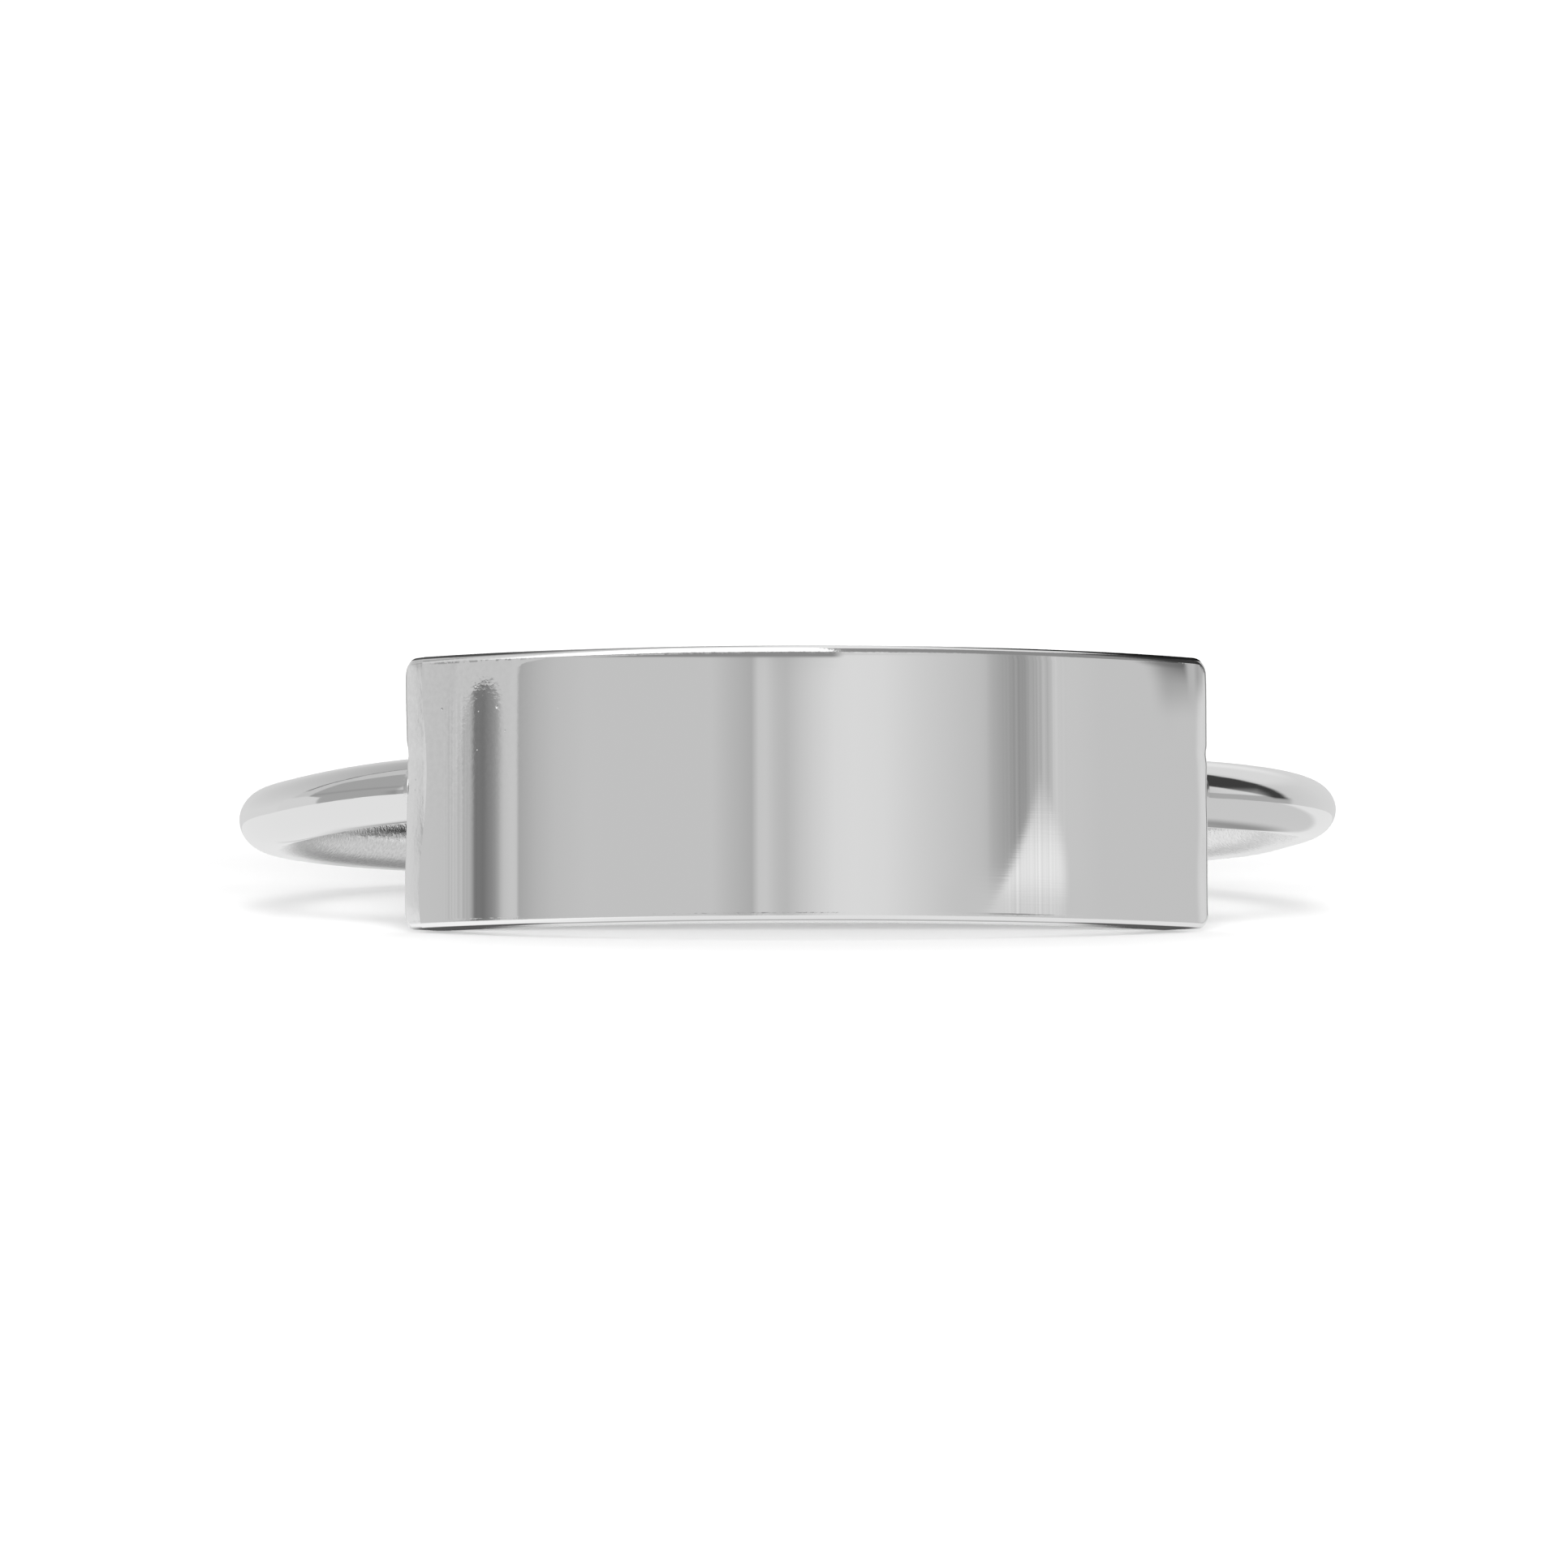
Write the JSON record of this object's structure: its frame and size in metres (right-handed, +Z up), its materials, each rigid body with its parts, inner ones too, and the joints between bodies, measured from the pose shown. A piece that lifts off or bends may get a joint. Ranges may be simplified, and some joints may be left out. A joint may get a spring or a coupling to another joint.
{
  "type": "stamping blank ring",
  "caption": "Finger ring of round silver wire soldered to a curved rectangular blank plate with small round corners, made to be stamped or engraved.",
  "frame": {"origin": "middle of the base of the ring's box, on the surface that the ring lies on", "axes": "+Z up, -Y out of the blank plate's face towards the viewer, +X to the right seen from the plate's side"},
  "size_m": [0.0198, 0.02, 0.0051],
  "materials": {
    "polished_silver": "polished sterling silver"
  },
  "bodies": {
    "root": {"ring_blank": "polished_silver"}
  },
  "joints": []
}
